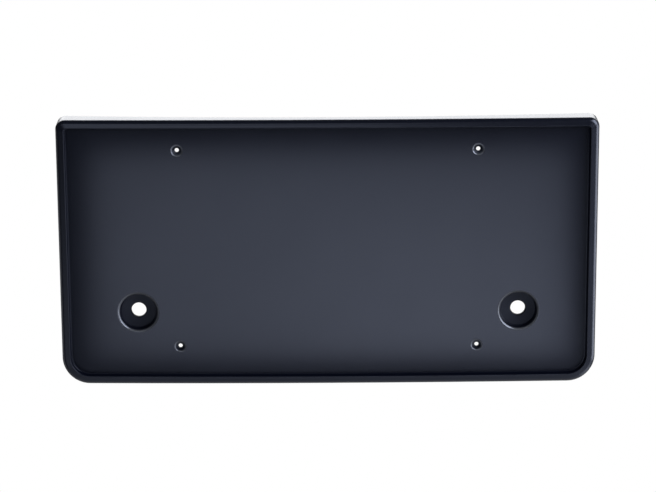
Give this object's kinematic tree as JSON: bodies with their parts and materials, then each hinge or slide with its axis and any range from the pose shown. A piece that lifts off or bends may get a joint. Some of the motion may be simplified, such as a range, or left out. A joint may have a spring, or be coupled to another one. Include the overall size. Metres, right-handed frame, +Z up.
{
  "type": "number plate holder",
  "caption": "Bowed rectangular plastic tray that is screwed to a car's bumper and carries a number plate inside its raised rim, with counterbored screw cups and a ribbed back.",
  "frame": {"origin": "midway between the two bumper screws, on the plane of the pads that bear on the bumper", "axes": "+X along the bumper to the right as seen from the front, +Y back to the bumper, +Z up"},
  "size_m": [0.32, 0.0163, 0.1624],
  "materials": {
    "black_plastic": "satin, with a fine moulded grain"
  },
  "bodies": {
    "root": {"plate_holder": "black_plastic"}
  },
  "joints": []
}
